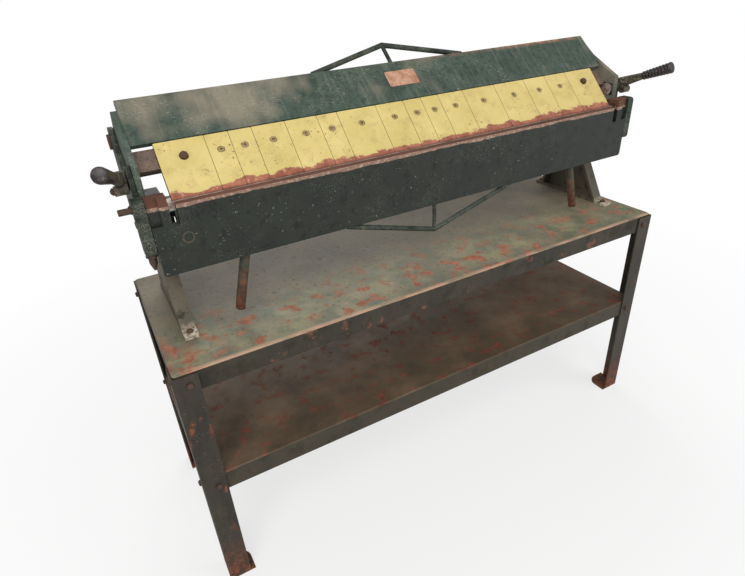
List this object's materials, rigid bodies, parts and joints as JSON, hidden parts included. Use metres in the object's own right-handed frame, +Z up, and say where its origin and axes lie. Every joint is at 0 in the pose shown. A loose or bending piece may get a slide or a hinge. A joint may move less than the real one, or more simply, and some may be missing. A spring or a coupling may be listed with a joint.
{
  "type": "sheet metal brake",
  "caption": "Box-and-pan sheet metal brake with split fingers, hinged apron and twin clamp handles on a steel bench with a shelf.",
  "frame": {"origin": "floor point under the centre of the table", "axes": "+X along the brake to the operator's right, +Y to the back, +Z up"},
  "size_m": [1.472, 0.505, 1.1779],
  "materials": {
    "finger_paint": "worn pale yellow paint, rusty at the nose",
    "table_paint": "faded green paint worn to red primer",
    "leg_paint": "dark olive paint, rusty at the foot",
    "dark_green_paint": "chipped dark green enamel",
    "leaf_green_paint": "scratched grey-green enamel",
    "olive_paint": "worn olive paint",
    "bare_steel": "worn bright steel",
    "grip_plastic": "dark ribbed grip",
    "handle_casting": "worn olive-grey casting",
    "nameplate_brass": "tarnished, bare",
    "rusty_steel": "rusted"
  },
  "bodies": {
    "frame": {"adjusting_screw": "rusty_steel", "bed": "dark_green_paint", "bed_nose_bar": "bare_steel", "end_block_left": "dark_green_paint", "end_block_right": "dark_green_paint", "frame_bolts": "rusty_steel", "hinge_pin_left": "bare_steel", "hinge_pin_right": "bare_steel", "leg_bolts": "rusty_steel", "leg_front_left": "leg_paint", "leg_front_right": "leg_paint", "leg_rear_left": "leg_paint", "leg_rear_right": "leg_paint", "pedestal_bolts": "rusty_steel", "pedestal_left": "olive_paint", "pedestal_right": "olive_paint", "shelf": "table_paint", "side_plate_left": "dark_green_paint", "side_plate_right": "dark_green_paint", "table_top": "table_paint"},
    "apron": {"apron": "dark_green_paint", "apron_truss": "rusty_steel", "apron_rod_left": "rusty_steel", "apron_rod_right": "rusty_steel"},
    "leaf": {"leaf_arm_left": "leaf_green_paint", "leaf_arm_right": "leaf_green_paint", "pivot_pin_left": "bare_steel", "pivot_pin_right": "bare_steel", "top_leaf": "leaf_green_paint", "finger_bar": "rusty_steel", "finger_screws": "rusty_steel", "end_finger_bolts": "rusty_steel", "leaf_truss": "rusty_steel", "nameplate": "nameplate_brass", "nameplate_rivets": "nameplate_brass", "finger_01": "finger_paint", "finger_02": "finger_paint", "finger_03": "finger_paint", "finger_04": "finger_paint", "finger_05": "finger_paint", "finger_06": "finger_paint", "finger_07": "finger_paint", "finger_08": "finger_paint", "finger_09": "finger_paint", "finger_10": "finger_paint", "finger_11": "finger_paint", "finger_12": "finger_paint", "finger_13": "finger_paint", "finger_14": "finger_paint", "finger_15": "finger_paint", "finger_16": "finger_paint"},
    "handle_right": {"eccentric_shaft_right": "bare_steel", "clamp_handle_right": "handle_casting", "handle_grip_right": "grip_plastic", "handle_screw_right": "rusty_steel"},
    "handle_left": {"eccentric_shaft_left": "bare_steel", "clamp_handle_left": "handle_casting", "handle_grip_left": "grip_plastic", "handle_screw_left": "rusty_steel"}
  },
  "joints": [
    {"name": "apron_swing", "type": "hinge", "parent": "frame", "child": "apron", "pos_m": [0, -0.1186, 0.966], "axis": [-1, 0, 0], "range_deg": [0, 90]},
    {"name": "leaf_lift", "type": "hinge", "parent": "frame", "child": "leaf", "pos_m": [0, 0.095, 1.05], "axis": [-1, 0, 0], "range_deg": [0, 3.1]},
    {"name": "clamp_handle_right_turn", "type": "hinge", "parent": "frame", "child": "handle_right", "pos_m": [0.68, -0.058, 1.006], "axis": [-1, 0, 0], "range_deg": [0, 90]},
    {"name": "clamp_handle_left_turn", "type": "hinge", "parent": "frame", "child": "handle_left", "pos_m": [-0.68, -0.058, 1.006], "axis": [-1, 0, 0], "range_deg": [0, 90]}
  ],
  "couplings": [
    {"joint": "leaf_lift", "follows": "clamp_handle_right_turn", "ratio": 0.034444},
    {"joint": "clamp_handle_left_turn", "follows": "clamp_handle_right_turn", "ratio": 1}
  ]
}
